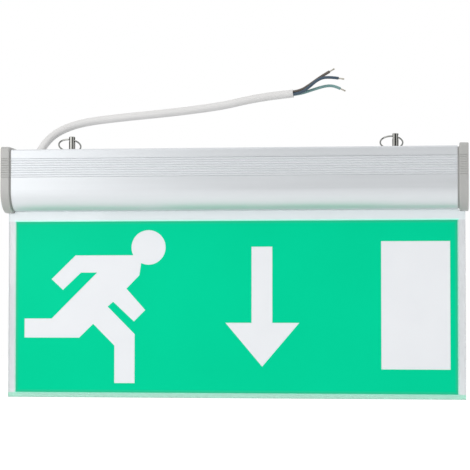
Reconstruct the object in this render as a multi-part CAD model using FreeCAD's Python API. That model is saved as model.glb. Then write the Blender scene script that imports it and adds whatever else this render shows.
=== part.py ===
"""Hanging emergency exit sign: edge-lit acrylic panel under an extruded aluminium housing.

Millimetres. X runs along the sign, Y from its front to its back and Z up. The origin is the
centre of the housing's top face, between the two hanging studs. Every piece is one STEP file.
"""
import FreeCAD, Part
import math
import os

V = FreeCAD.Vector

# ---- housing extrusion -------------------------------------------------------------------
housing_length = 338.6
housing_depth = 39.0
housing_height = 46.6
housing_wall = 1.8
lower_radius = 15.5         # the front and back walls curve in under the box
upper_radius = 1.6
slot_width = 6.0            # the mouth that the light guide hangs out of
reed_top = 7.0              # plain band above the reeded one
reed_pitch = 1.8
reed_count = 8
reed_depth = 0.5
port_outer_r = 2.9          # C-shaped screw ports that take the end caps' screws
port_bore_r = 1.45
port_bite = 0.5             # how far a port's ring sinks into the wall
port_mouth = 1.2
rail_depth = 2.0            # ribs that hold the circuit board by its edges
rail_rib = 1.0
guide_height = 4.0          # low ribs that keep the panel carrier central
guide_rib = 1.2

# ---- end caps ----------------------------------------------------------------------------
cap_rim = 6.8
cap_gap = 1.3               # shadow gap between rim and extrusion
cap_gap_depth = 0.8
cap_proud = 1.3
cap_proud_top = 2.2
cap_plate = 2.4
cap_edge = 0.8
spigot_length = 8.0
spigot_wall = 1.6
fit_gap = 0.15              # sliding clearance of moulded and pressed pieces
boss_r = 3.3
boss_bore_r = 1.6
head_r = 2.7
head_height = 1.8
head_recess = 2.0
screw_gap = 0.05
screw_length = 19.0

# ---- light guide and films ---------------------------------------------------------------
panel_inset = 2.4           # the panel's edges lie this far inside the caps' faces
panel_thickness = 5.0
panel_drop = 142.8          # from the housing's bottom edge to the panel's
tongue_gap = 0.7            # between the LEDs and the lit edge
end_gap = 0.3
legend_margin = 6.0         # bare acrylic left and right of the legend
legend_drop = 8.1
legend_foot = 3.9
film_thickness = 0.2
diffuser_thickness = 0.15

# ---- running figure, arrow and door, in modules of one limb's width -----------------------
modules_across = 21.125     # the film's width and height, in modules
modules_high = 8.175
head_place = (-4.10, 2.84)
head_share = 0.83           # its radius, in modules
figure_outline = [
    (-4.80, 2.47), (-7.65, 2.47), (-8.82, 1.33), (-8.26, 0.81), (-7.38, 1.64), (-6.60, 1.64),
    (-8.81, -0.56), (-10.14, -0.56), (-10.14, -1.48), (-7.46, -1.48), (-6.78, -0.82),
    (-5.75, -1.85), (-5.75, -3.64), (-4.76, -3.64), (-4.76, -1.30), (-6.07, 0.01),
    (-5.81, 0.24), (-4.80, -0.70), (-4.25, -0.15), (-5.16, 0.87), (-4.54, 1.51), (-4.45, 2.10)]
arrow_outline = [
    (0.85, 2.86), (1.85, 2.86), (1.85, -0.75), (3.13, -0.75), (1.36, -2.83), (-0.40, -0.75),
    (0.85, -0.75)]
door_outline = [(6.99, 3.10), (10.22, 3.10), (10.22, -2.93), (6.99, -2.93)]

# ---- panel carrier, LED strip and pins ----------------------------------------------------
carrier_wall = 1.5
carrier_height = 15.0
seat_gap = 0.1
led_board_thickness = 1.2
led_pitch = 16.0
led_end = 5.0               # strip left free beyond the outer LEDs, at least
led_size = (3.0, 2.6, 0.9)
pin_r = 1.25
pin_drop = 7.4              # pin centre below the housing's bottom edge, measured upwards
pin_spread = 130.0

# ---- hanging studs and rings -------------------------------------------------------------
stud_inset = 44.9           # from the extrusion's ends
stud_shift = -1.6           # the drilled pair sits a little left of the middle
stud_r = 2.5
stud_height = 11.1
stud_eye_drop = 2.65        # from the stud's top to the eye's centre
stud_eye_r = 1.65
stud_eye_flare = 0.55
stud_crown = 0.4
stud_shank_r = 2.0
stud_thread_end = 0.5       # how far the shank comes through its nut
stud_hole_gap = 0.1
washer_r = 4.5
washer_thickness = 0.8
nut_across = 7.0
nut_height = 3.2
ring_r = 8.5
ring_wire_r = 0.65
ring_skew = 22.0            # the ring has slid round in its eye by this angle
ring_rise = 0.37            # and rides this far off the eye's centre
ring_split_at = 48.0        # where its two ends meet, counted from the eye
ring_split = 3.0
rest_gap = 0.05

# ---- circuit board and what it carries ----------------------------------------------------
board_thickness = 1.6
board_end_gap = 5.0         # from the left cap's spigot
board_margin = 4.0          # beyond the last plug
board_edge_gap = 0.25
board_clearance = 2.6       # above the panel carrier
lead_height = 0.1
terminal_size = (11.0, 16.0, 11.0)
terminal_at = (14.0, 0.0)   # from the board's left end, like the other places on it
terminal_poles = 3
terminal_entry = (3.0, 2.0, 5.0)        # depth, sill and lintel of the wire entries
terminal_screw_r = 1.5
terminal_screw_height = 3.6
terminal_screw_slot = 0.8
coil_core = (26.0, 22.0, 14.5)
coil_at = (60.0, 0.0)
coil_core_web = 4.5
coil_lamination = 9.0
coil_wall_gap = 0.2
mains_capacitor_r = 5.0
mains_capacitor_length = 15.0
mains_capacitor_at = (88.0, -6.5)
output_capacitor_r = 4.0
output_capacitor_height = 11.5
output_capacitors_at = [(109.0, 7.5), (120.0, 7.5)]
fuse_r = 2.6
fuse_length = 20.0
fuse_along = 41.5
fuse_gap = 0.3              # between its clips and the board's rail
clip_side = 0.5
chip_size = (10.0, 6.4, 3.4)
chips_at = [(105.0, -8.0), (123.0, -8.0)]
heat_plate = (14.0, 1.2, 12.0)
heat_plate_at = (139.0, 8.0)
transistor_size = (10.0, 4.4, 10.0)
plug_size = (8.0, 6.0, 7.0)
plugs_at = [(151.0, -8.0), (140.0, -8.0)]

# ---- battery -----------------------------------------------------------------------------
cell_r = 7.1
cell_length = 47.0
cell_groove = 0.5
battery_gap = 8.0           # from the board's right end
tray_wall = 1.4
tray_side = 8.0
tray_floor = 1.6
strap_thickness = 0.8
strap_width = 5.0
straps_at = (0.15, 0.6)

# ---- test button, its switch and the indicators -------------------------------------------
control_level = -23.0
button_r = 2.5
button_gap = 0.05
button_flange_r = 3.8
button_flange = 1.0
button_float = 0.2
button_below_face = 0.3
button_travel = 0.8
dish_r = 5.5
dish_depth = 1.1
switch_body = (3.5, 6.0, 6.0)
plunger_r = 1.5
plunger_gap = 0.1
plunger_reach = 1.1
control_board = (1.6, 20.0, 27.0)
control_board_depth = 9.6   # from the cap plate's inside to the board's far face
post_r = 2.2
post_spread = 7.4
post_screw_r = 0.9
post_screw_length = 7.0
lens_spread = 9.0
lens_r = 1.5
lens_flange_r = 2.3
lens_flange = 0.8
lens_gap = 0.05
signal_led = (0.8, 2.0, 1.6)

# ---- inner leads -------------------------------------------------------------------------
lead_spread = 1.45          # of the cores about the sheath's axis
lead_twist = 30.0          # turn of their triangle
lead_run = 4.0              # straight out of the sheath and out of the battery
lead_bow = 10.5             # how far left of the terminal the cores swing
lead_bow_rise = 4.6         # and how far above its entries
lead_return = 2.6           # along X on their way back
lead_approach = 2.0         # straight before the terminal
battery_wire_r = 0.7
battery_wires = 1.8         # between the two wires
battery_lead_level = 2.9    # above the battery's axis
battery_lead_sag = 1.2
led_wire_r = 0.6
led_wires = 1.6
lead_hump = 5.5             # of the battery's wires over their plug
plug_rise = 3.5             # straight up out of a plug
plug_bend = 3.6
# LED wires: places from their plug's top, and which way (X, Z) the two lie apart
led_lead_start = [
    ((0, 0, 0), (1, 0)), ((0, 0, plug_rise), (1, 0)), ((2.0, -2.8, 5.9), (1, 1)),
    ((8.5, -4.2, 6.1), (0, 1)), ((15.5, -4.8, 4.5), (0, 1))]
# and the same from the hole that they go down through
led_lead_end = [
    ((-2.0, -9.8, 12.6), (1, 1)), ((0, -4.4, 5.6), (1, 0)), ((0, 0, 1.6), (1, 0)),
    ((0, 0, -carrier_wall), (1, 0))]

# ---- supply cord -------------------------------------------------------------------------
cord_r = 3.15
cord_route = [
    V(-155.6, 1.8, -8.9), V(-153.3, 4.6, -1.8), V(-150.2, 9.0, 5.9), V(-144.4, 14.2, 13.7),
    V(-134.1, 18.8, 20.2), V(-118.8, 20.6, 24.6), V(-91.6, 19.4, 27.5), V(-48.7, 17.2, 30.9),
    V(-12.0, 15.9, 35.1), V(6.3, 15.2, 39.1), V(25.0, 14.6, 42.2), V(43.6, 14.2, 44.0)]
grommet_hole_r = 5.0
grommet_flange_r = 6.4
grommet_flange = 1.4
grommet_lip_r = 5.8
grommet_lip = 2.4
cord_gap = 0.05
core_r = 1.1
core_routes = {
    "core_brown": [
        V(43.7, 14.2, 45.4), V(49.5, 14.3, 46.0), V(57.3, 14.7, 51.0), V(65.3, 14.9, 56.8),
        V(72.1, 15.0, 60.7)],
    "core_blue": [
        V(43.7, 12.9, 43.3), V(49.9, 12.6, 43.9), V(56.6, 11.9, 48.6), V(63.2, 11.4, 54.2),
        V(70.4, 11.1, 56.3), V(79.2, 11.0, 54.9)],
    "core_green": [
        V(43.8, 15.5, 43.3), V(49.6, 15.6, 43.9), V(58.2, 16.2, 46.7), V(66.5, 16.6, 49.3),
        V(71.8, 16.8, 50.1), V(76.4, 16.9, 49.4), V(80.2, 16.9, 47.6)]}
bare_r = 0.65
bare_length = 4.4

# ---- places that follow from the sizes above ----------------------------------------------
half_length = housing_length / 2
half_depth = housing_depth / 2
housing_bottom = -housing_height
reed_height = reed_count * reed_pitch
rim_start = half_length + cap_gap
cap_face = rim_start + cap_rim
plate_inside = cap_face - cap_plate
spigot_end = half_length - spigot_length
port_inset = housing_wall + port_outer_r - port_bite
upper_port = (half_depth - port_inset, -port_inset)
curve_centre = (half_depth - lower_radius, housing_bottom + lower_radius)
port_reach = (lower_radius - port_inset) * math.sin(math.radians(45))
lower_port = (curve_centre[0] + port_reach, curve_centre[1] - port_reach)
inner_half = half_depth - housing_wall
carrier_half = slot_width / 2 + carrier_wall
carrier_foot = housing_bottom + housing_wall + seat_gap
carrier_top = carrier_foot + carrier_height
carrier_roof = carrier_top - carrier_wall
carrier_half_length = spigot_end - end_gap
led_face = carrier_roof - led_board_thickness - led_size[2]
led_count = int((2 * carrier_half_length - 2 * led_end) / led_pitch) + 1
panel_half_width = cap_face - panel_inset
panel_top = led_face - tongue_gap
panel_shoulder = housing_bottom - cap_proud - 2 * seat_gap
panel_bottom = housing_bottom - panel_drop
legend_half_width = panel_half_width - legend_margin
legend_top = housing_bottom - legend_drop
legend_height = panel_drop - legend_drop - legend_foot
legend_middle = legend_top - legend_height / 2
figure_module = min(2 * legend_half_width / modules_across, legend_height / modules_high)
pin_level = housing_bottom + pin_drop
groove_height = board_thickness + 2 * lead_height
board_top = carrier_top + board_clearance + board_thickness
groove_top = board_top + lead_height
terminal_floor = board_top + terminal_size[2] * 0.45
board_left = -spigot_end + board_end_gap
coil_centre = board_left + coil_at[0]
board_right = board_left + plugs_at[0][0] + plug_size[0] / 2 + board_margin
battery_left = board_right + battery_gap
fuse_at = (fuse_along, inner_half - rail_depth - fuse_gap - fuse_r - clip_side)
cell_count = int((spigot_end - battery_left - tray_wall - 2 * end_gap) / cell_length)
control_board_x = plate_inside - control_board_depth
switch_face = control_board_x + control_board[0] + switch_body[0]
stud_reach = half_length - stud_inset
stud_places = {"left": stud_shift - stud_reach, "right": stud_shift + stud_reach}
stud_shank_length = housing_wall + washer_thickness + nut_height + stud_thread_end
eye_level = stud_height - stud_eye_drop


# ---- helpers -----------------------------------------------------------------------------
def box(x, y, z):
    """Block between the two ends given for each axis."""
    return Part.makeBox(x[1] - x[0], y[1] - y[0], z[1] - z[0], V(x[0], y[0], z[0]))


def block(centre, size, base):
    """Block of a size (x, y, z) standing on a level, over a centre (x, y)."""
    return box((centre[0] - size[0] / 2, centre[0] + size[0] / 2),
               (centre[1] - size[1] / 2, centre[1] + size[1] / 2), (base, base + size[2]))


def rod(start, end, radius):
    """Round bar from one point to another."""
    return Part.makeCylinder(radius, start.distanceToPoint(end), start, end - start)


def x_rod(x, y, z, radius):
    """Round bar along X between two ends."""
    return rod(V(x[0], y, z), V(x[1], y, z), radius)


def turned(profile, centre):
    """Solid of revolution about a vertical axis, from (radius, height) points."""
    points = [V(radius, 0, height) for radius, height in profile]
    face = Part.Face(Part.makePolygon(points + points[:1]))
    solid = face.revolve(V(0, 0, 0), V(0, 0, 1), 360)
    solid.translate(V(centre[0], centre[1], 0))
    return solid


def prism(wire, x):
    """Closed outline in the YZ plane, run along X between two ends."""
    solid = Part.Face(wire).extrude(V(x[1] - x[0], 0, 0))
    solid.translate(V(x[0], 0, 0))
    return solid


def joined(first, *others):
    """One clean solid from pieces that meet."""
    return first.multiFuse(list(others)).removeSplitter()


def both_sides(shape, normal):
    """A shape and its mirror image across the plane through the origin."""
    return [shape, shape.mirror(V(0, 0, 0), normal)]


def housing_outline(grow, top=None):
    """Housing's cross-section grown by an offset: flat top, straight walls, curved foot."""
    top = grow if top is None else top
    half = half_depth + grow
    bottom = housing_bottom - grow
    flat = half_depth - lower_radius
    radius = lower_radius + grow
    corner = max(upper_radius + grow, 0.3)
    slant = math.sin(math.radians(45))

    def side(sign):
        foot = V(0, sign * flat, bottom)
        bend = V(0, sign * (flat + radius * slant), bottom + radius * (1 - slant))
        wall = V(0, sign * half, bottom + radius)
        shoulder = V(0, sign * half, top - corner)
        turn = V(0, sign * (half - corner * (1 - slant)), top - corner * (1 - slant))
        edge = V(0, sign * (half - corner), top)
        return [Part.Arc(foot, bend, wall).toShape(), Part.LineSegment(wall, shoulder).toShape(),
                Part.Arc(shoulder, turn, edge).toShape()], foot, edge

    back, back_foot, back_edge = side(1)
    front, front_foot, front_edge = side(-1)
    lid = Part.LineSegment(back_edge, front_edge).toShape()
    floor = Part.LineSegment(front_foot, back_foot).toShape()
    return Part.Wire(Part.__sortEdges__(back + [lid] + front + [floor]))


def reed_cutters(x, face):
    """What a broach takes off the front and back faces to leave rounded reeds."""
    valley = face - reed_depth
    edges = []
    for reed in range(reed_count):
        upper = -reed_top - reed * reed_pitch
        lower = upper - reed_pitch
        arc = Part.Arc(V(0, valley, upper), V(0, face, (upper + lower) / 2), V(0, valley, lower))
        edges.append(arc.toShape())
    first, last = -reed_top, -reed_top - reed_height
    outside = face + reed_depth
    around = [V(0, valley, last), V(0, outside, last), V(0, outside, first), V(0, valley, first)]
    edges += [Part.LineSegment(a, b).toShape() for a, b in zip(around, around[1:])]
    return both_sides(prism(Part.Wire(edges), x), V(0, 1, 0))


def port_places():
    """Centres (y, z) of the four screw ports."""
    return [(sign * y, z) for y, z in (upper_port, lower_port) for sign in (-1, 1)]


def screw(tip_direction, seat, bore_r, length, head=(head_r, head_height)):
    """Pan-head screw along X whose head sits on a seat point, with a cross recess."""
    shank = rod(seat, seat + tip_direction * length, bore_r)
    top = seat - tip_direction * head[1]
    cap = rod(seat, top, head[0])
    cap = cap.makeChamfer(head[1] * 0.35, [e for e in cap.Edges if is_rim(e, top)])
    body = joined(shank, cap)
    depth = head[1] * 0.4
    half, long_half = head[0] * 0.16, head[0] * 0.6
    ends = (top.x - depth, top.x + depth)
    body = body.cut(box(ends, (seat.y - half, seat.y + half),
                        (seat.z - long_half, seat.z + long_half)))
    return body.cut(box(ends, (seat.y - long_half, seat.y + long_half),
                        (seat.z - half, seat.z + half)))


def is_rim(edge, centre):
    """True for the circular edge around a point."""
    curve = edge.Curve
    return isinstance(curve, Part.Circle) and curve.Center.distanceToPoint(centre) < 1e-6


def save(name, solids):
    """One STEP file for a piece, or for a group of like pieces."""
    shape = solids if isinstance(solids, Part.Shape) else Part.makeCompound(solids)
    if not shape.isValid():
        raise ValueError(name + " is not a valid solid")
    shape.exportStep("parts/" + name + ".step")


# ---- housing -----------------------------------------------------------------------------
def housing_extrusion():
    """Extruded box with reeded faces, a slot below, screw ports, board rails and guides."""
    length = (-half_length, half_length)
    shell = prism(housing_outline(0), length).cut(prism(housing_outline(-housing_wall), length))
    shell = shell.cut(box(length, (-slot_width / 2, slot_width / 2),
                          (housing_bottom - housing_wall, housing_bottom + 2 * housing_wall)))
    for cutter in reed_cutters(length, half_depth):
        shell = shell.cut(cutter)
    ribs = []
    for top in (groove_top + rail_rib, groove_top - groove_height):
        ribs.append(box(length, (inner_half - rail_depth, inner_half + housing_wall / 2),
                        (top - rail_rib, top)))
    inner = carrier_half + fit_gap
    floor = housing_bottom + housing_wall
    ribs.append(box(length, (inner, inner + guide_rib), (floor - housing_wall / 2,
                                                       floor + guide_height)))
    pieces = [piece for rib in ribs for piece in both_sides(rib, V(0, 1, 0))]
    pieces += [x_rod(length, y, z, port_outer_r) for y, z in port_places()]
    body = joined(shell, *pieces)
    for y, z in port_places():
        body = body.cut(x_rod(length, y, z, port_bore_r))
        mouth = box(length, (-port_mouth / 2, port_mouth / 2), (-1.5 * port_outer_r, 0))
        inward = math.degrees(math.atan2(-y, housing_height / 2 + z))
        mouth.rotate(V(0, 0, 0), V(1, 0, 0), inward)
        mouth.translate(V(0, y, z))
        body = body.cut(mouth)
    for x in stud_places.values():
        body = body.cut(rod(V(x, 0, -2 * housing_wall), V(x, 0, housing_wall),
                            stud_shank_r + stud_hole_gap))
    centre = grommet_centre()
    return body.cut(rod(V(centre.x, centre.y, -2 * housing_wall),
                        V(centre.x, centre.y, housing_wall), grommet_hole_r))


def end_cap():
    """Moulded right-hand cap: proud rim, shadow gap, spigot and bosses for four screws."""
    rim = prism(housing_outline(cap_proud, cap_proud_top), (rim_start, cap_face))
    rim = rim.makeFillet(cap_edge, [e for e in rim.Edges if abs(e.BoundBox.XLength) < 1e-6])
    for cutter in reed_cutters((rim_start - cap_edge, cap_face + cap_edge), half_depth + cap_proud):
        rim = rim.cut(cutter)
    step = prism(housing_outline(-cap_gap_depth), (half_length, rim_start + cap_edge))
    inset = housing_wall + fit_gap
    spigot = prism(housing_outline(-inset), (spigot_end, half_length + cap_edge))
    body = joined(rim, step, spigot)
    body = body.cut(prism(housing_outline(-inset - spigot_wall), (spigot_end - 1, plate_inside)))
    for y, z in port_places():
        body = body.cut(x_rod((spigot_end - 1, half_length), y, z, port_outer_r + 2 * fit_gap))
    rail_low = groove_top - groove_height - rail_rib - fit_gap
    rail_high = groove_top + rail_rib + fit_gap
    for sign in (-1, 1):
        ends = sorted((sign * (inner_half - rail_depth - fit_gap), sign * half_depth))
        body = body.cut(box((spigot_end - 1, half_length), ends, (rail_low, rail_high)))
        ends = sorted((sign * carrier_half, sign * (carrier_half + guide_rib + 2 * fit_gap)))
        body = body.cut(box((spigot_end - 1, half_length), ends,
                            (housing_bottom, housing_bottom + housing_wall + guide_height
                             + fit_gap)))
    bosses = [x_rod((half_length, plate_inside + 1), y, z, boss_r) for y, z in port_places()]
    inside = prism(housing_outline(-cap_gap_depth), (half_length, cap_face - 1))
    body = joined(body, *[boss.common(inside) for boss in bosses])
    for y, z in port_places():
        body = body.cut(x_rod((half_length - 1, cap_face + 1), y, z, boss_bore_r))
        body = body.cut(x_rod((cap_face - head_recess, cap_face + 1), y, z, head_r + fit_gap))
    return body


def control_cap():
    """Right cap with the test button's guide, two lens holes and the posts of its board."""
    cap = end_cap()
    dish = x_rod((cap_face - dish_depth, cap_face + 1), 0, control_level, dish_r)
    cap = cap.cut(dish).cut(x_rod((spigot_end, cap_face), 0, control_level,
                                  button_r + button_gap))
    board_face = control_board_x + control_board[0]
    for sign in (-1, 1):
        lens = x_rod((plate_inside - 1, cap_face + 1), 0, control_level + sign * lens_spread,
                     lens_r + lens_gap)
        post = x_rod((board_face, plate_inside + 1), sign * post_spread, control_level, post_r)
        pilot = x_rod((board_face - 1, board_face + post_screw_length), sign * post_spread,
                      control_level, post_screw_r + screw_gap)
        cap = joined(cap.cut(lens), post).cut(pilot)
    return cap


def cap_screws(sign):
    """Four screws that pull one cap onto the extrusion."""
    seat = sign * (cap_face - head_recess)
    return [screw(V(-sign, 0, 0), V(seat, y, z), port_bore_r - screw_gap, screw_length)
            for y, z in port_places()]


# ---- light guide -------------------------------------------------------------------------
def pin_places():
    """Where the pins cross the panel's tongue."""
    return (-pin_spread, 0.0, pin_spread)


def light_guide_panel():
    """Clear sheet with polished, lightly broken edges, stepped in under the caps and above."""
    half = panel_thickness / 2
    sheet = box((-panel_half_width, panel_half_width), (-half, half),
                (panel_bottom, panel_shoulder))
    rims = [e for e in sheet.Edges if e.BoundBox.YLength < 1e-6
            and e.BoundBox.ZMax < panel_shoulder - 1 or e.BoundBox.ZLength > 1]
    sheet = sheet.makeChamfer(0.4, rims)
    tongue = box((-carrier_half_length + end_gap, carrier_half_length - end_gap), (-half, half),
                 (panel_shoulder - 1, panel_top))
    under = rim_start - end_gap
    collar = box((-under, under), (-half, half), (panel_shoulder - 1, housing_bottom - seat_gap))
    sheet = joined(sheet, collar, tongue)
    for x in pin_places():
        sheet = sheet.cut(rod(V(x, -half - 1, pin_level), V(x, half + 1, pin_level),
                              pin_r + fit_gap))
    return sheet


def legend_sheet(front, thickness):
    """Plain film of the legend's size whose front face lies at a given depth."""
    return box((-legend_half_width, legend_half_width), (front, front + thickness),
               (legend_top - legend_height, legend_top))


def legend_piece(outline, front):
    """Flat figure cut through the green film, from its outline in modules."""
    points = [V(x * figure_module, front - 1, legend_middle + z * figure_module)
              for x, z in outline]
    face = Part.Face(Part.makePolygon(points + points[:1]))
    return face.extrude(V(0, film_thickness + 2, 0))


def legend_film():
    """Green film, open where the white figure, arrow and door show."""
    front = -panel_thickness / 2 - diffuser_thickness - film_thickness
    film = legend_sheet(front, film_thickness)
    head = V(head_place[0] * figure_module, front - 1,
             legend_middle + head_place[1] * figure_module)
    film = film.cut(rod(head, head + V(0, film_thickness + 2, 0), head_share * figure_module))
    for outline in (figure_outline, arrow_outline, door_outline):
        film = film.cut(legend_piece(outline, front))
    return film


def panel_carrier():
    """Folded channel that holds the LED strip over the panel's tongue."""
    length = (-carrier_half_length, carrier_half_length)
    channel = box(length, (-carrier_half, carrier_half), (carrier_foot, carrier_top))
    edges = [e for e in channel.Edges if e.BoundBox.XLength > 1
             and e.BoundBox.ZMin > carrier_top - 1e-6]
    channel = channel.makeFillet(carrier_wall * 0.9, edges)
    channel = channel.cut(box(length, (-slot_width / 2, slot_width / 2),
                              (carrier_foot - 1, carrier_roof)))
    for x in pin_places():
        channel = channel.cut(rod(V(x, -carrier_half - 1, pin_level),
                                  V(x, carrier_half + 1, pin_level), pin_r + screw_gap))
    return channel.cut(rod(V(lead_hole(), 0, carrier_roof - 1), V(lead_hole(), 0, carrier_top + 1),
                           led_wires))


def lead_hole():
    """Middle of the gap between circuit board and battery tray, where the LED lead goes down."""
    return (board_right + battery_left - tray_wall - end_gap) / 2


def led_places():
    """Centres of the LEDs along the strip."""
    return [(place - (led_count - 1) / 2) * led_pitch for place in range(led_count)]


# ---- hanging hardware --------------------------------------------------------------------
def hanging_stud(x):
    """Turned stud with a cross eye, screwed down through the housing's top."""
    body = turned([(0, -stud_shank_length), (stud_shank_r - 0.4, -stud_shank_length),
                   (stud_shank_r, -stud_shank_length + 0.4), (stud_shank_r, 0), (stud_r, 0),
                   (stud_r, stud_height - stud_crown), (stud_r - stud_crown, stud_height),
                   (0, stud_height)], (x, 0))
    body = body.cut(x_rod((x - stud_r - 1, x + stud_r + 1), 0, eye_level, stud_eye_r))
    flare = stud_eye_r + stud_eye_flare
    for sign in (-1, 1):
        mouth = V(x + sign * stud_r, 0, eye_level)
        cone = Part.makeCone(flare, stud_eye_r - stud_eye_flare, 2 * stud_eye_flare, mouth,
                             V(-sign, 0, 0))
        body = body.cut(cone)
    return body


def washer(x):
    """Washer under the housing's top."""
    top = -housing_wall
    inner = stud_shank_r + stud_hole_gap
    return turned([(inner, top), (washer_r, top), (washer_r, top - washer_thickness),
                   (inner, top - washer_thickness)], (x, 0))


def nut(x):
    """Hexagon nut that clamps the stud."""
    top = -housing_wall - washer_thickness
    radius = nut_across / 2 / math.cos(math.radians(30))
    corners = [V(x + radius * math.cos(math.radians(60 * k)), radius * math.sin(math.radians(60 * k)),
                 top) for k in range(6)]
    body = Part.Face(Part.makePolygon(corners + corners[:1])).extrude(V(0, 0, -nut_height))
    return body.cut(rod(V(x, 0, top + 1), V(x, 0, top - nut_height - 1),
                        stud_shank_r + screw_gap))


def ring_lean():
    """Angle from straight down at which a ring lies back on the housing's top."""
    reach = ring_r * (1 + math.cos(math.radians(ring_skew))) - ring_rise
    return math.degrees(math.acos((eye_level - ring_wire_r - rest_gap) / reach))


def hanging_ring(x):
    """Sprung wire ring through the stud's eye, lying back on the housing's top."""
    skew = math.radians(ring_skew)
    drop = ring_r * math.cos(skew) - ring_rise
    centre = V(x - ring_r * math.sin(skew), 0, eye_level - drop)
    start = math.radians(90 + ring_split_at)
    spoke = V(math.cos(start), 0, math.sin(start))
    section = Part.Wire(Part.makeCircle(ring_wire_r, centre + spoke * ring_r,
                                        V(-spoke.z, 0, spoke.x)))
    ring = Part.Face(section).revolve(centre, V(0, -1, 0), 360 - ring_split)
    ring.rotate(V(x, 0, eye_level), V(1, 0, 0), ring_lean())
    return ring


# ---- cord --------------------------------------------------------------------------------
def tube_path(name, route):
    """Straight runs joined by tangent arcs, each arc as large as its two runs allow."""
    edges = []
    start = route[0]
    tightest = None
    for before, corner, after in zip(route, route[1:], route[2:]):
        back = before - corner
        ahead = after - corner
        cut = 0.45 * min(back.Length, ahead.Length)
        back.normalize()
        ahead.normalize()
        turn = math.pi - back.getAngle(ahead)
        radius = cut / math.tan(turn / 2)
        tightest = radius if tightest is None else min(tightest, radius)
        entry = corner + back * cut
        leave = corner + ahead * cut
        inward = back + ahead
        inward.normalize()
        middle = corner + inward * (math.hypot(radius, cut) - radius)
        edges.append(Part.LineSegment(start, entry).toShape())
        edges.append(Part.Arc(entry, middle, leave).toShape())
        start = leave
    edges.append(Part.LineSegment(start, route[-1]).toShape())
    path = Part.Wire(edges)
    print("%s: length %.1f, tightest radius %.1f" % (name, path.Length, tightest))
    return path


def tube(name, route, radius):
    """Round solid along a path, checked against section times length."""
    path = tube_path(name, route)
    circle = Part.Wire(Part.makeCircle(radius, route[0], route[1] - route[0]))
    solid = path.makePipeShell([circle], True, False)
    wanted = math.pi * radius ** 2 * path.Length
    print("%s: volume is %.4f of section times length" % (name, solid.Volume / wanted))
    return solid


def grommet_centre():
    """Where the cord's centre line crosses the housing's top face."""
    lower, upper = cord_route[1], cord_route[2]
    share = (0 - lower.z) / (upper.z - lower.z)
    return lower + (upper - lower) * share


def cord_grommet():
    """Rubber bush snapped into the housing's top, bored at the cord's slant."""
    centre = grommet_centre()
    neck = grommet_hole_r - screw_gap
    bush = turned([(0, grommet_flange), (grommet_flange_r - 0.5, grommet_flange),
                   (grommet_flange_r, grommet_flange - 0.5), (grommet_flange_r, 0), (neck, 0),
                   (neck, -housing_wall), (grommet_lip_r, -housing_wall),
                   (neck, -housing_wall - grommet_lip), (0, -housing_wall - grommet_lip)],
                  (centre.x, centre.y))
    return bush.cut(tube("grommet bore", cord_route[:4], cord_r + cord_gap))


def bare_tip(name):
    """Tinned strands beyond a core's insulation."""
    last, before = core_routes[name][-1], core_routes[name][-2]
    along = last - before
    along.normalize()
    return rod(last, last + along * bare_length, bare_r)


# ---- circuit board -----------------------------------------------------------------------
def on_board(place):
    """Point (x, y) of a place counted from the board's left end."""
    return board_left + place[0], place[1]


def driver_board():
    """Glass-fibre board held by its edges in the rails."""
    half = inner_half - board_edge_gap
    return box((board_left, board_right), (-half, half), (board_top - board_thickness, board_top))


def terminal_block():
    """Three-pole screw terminal with wire entries on its left and screw wells above."""
    x = on_board(terminal_at)[0]
    body = block(on_board(terminal_at), terminal_size, board_top)
    half = terminal_size[1] / terminal_poles * 0.3
    face = x - terminal_size[0] / 2
    for y in terminal_places():
        well = rod(V(x, y, terminal_floor), V(x, y, board_top + terminal_size[2] + 1),
                   terminal_screw_r + fit_gap)
        entry = box((face - 1, face + terminal_entry[0]), (y - half, y + half),
                    (board_top + terminal_entry[1], board_top + terminal_entry[2]))
        body = body.cut(well).cut(entry)
    return body


def terminal_places():
    """Centres of the terminal's poles along Y."""
    pitch = terminal_size[1] / terminal_poles
    return [terminal_at[1] + (k - (terminal_poles - 1) / 2) * pitch
            for k in range(terminal_poles)]


def terminal_screws():
    """Slotted clamping screws in the terminal's wells."""
    x = on_board(terminal_at)[0]
    top = terminal_floor + terminal_screw_height
    slot_size = (terminal_screw_slot, 2 * terminal_screw_r + 1, terminal_screw_slot + 1)
    screws = []
    for y in terminal_places():
        body = rod(V(x, y, terminal_floor), V(x, y, top), terminal_screw_r)
        screws.append(body.cut(block((x, y), slot_size, top - terminal_screw_slot)))
    return screws


def coil_windows():
    """The two windows of the transformer's core, as ends along X."""
    inner = coil_lamination / 2
    outer = coil_core[0] / 2 - coil_core_web
    return [(coil_centre - outer, coil_centre - inner),
            (coil_centre + inner, coil_centre + outer)]


def transformer_core():
    """Ferrite core in the shape of an 8."""
    core = block(on_board(coil_at), (coil_core[0], coil_core[1] * 0.5, coil_core[2]), board_top)
    for window in coil_windows():
        core = core.cut(box(window, (-coil_core[1], coil_core[1]),
                            (board_top + coil_core_web, board_top + coil_core[2] - coil_core_web)))
    return core


def transformer_coil():
    """Wound bobbin around the core's middle leg, taped over."""
    windows = coil_windows()
    low = board_top + coil_core_web + coil_wall_gap
    high = board_top + coil_core[2] - coil_core_web - coil_wall_gap
    left = windows[0][0] + coil_wall_gap
    right = windows[1][1] - coil_wall_gap
    depth = coil_core[1] / 2
    coil = box((left, right), (-depth, depth), (low, high))
    upright = [e for e in coil.Edges if e.BoundBox.ZLength > 1]
    coil = coil.makeFillet(2.0, upright)
    leg = coil_lamination / 2 + coil_wall_gap
    lead = coil_core[1] * 0.25 + coil_wall_gap
    return coil.cut(box((coil_centre - leg, coil_centre + leg), (-lead, lead),
                        (low - 1, high + 1)))


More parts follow.
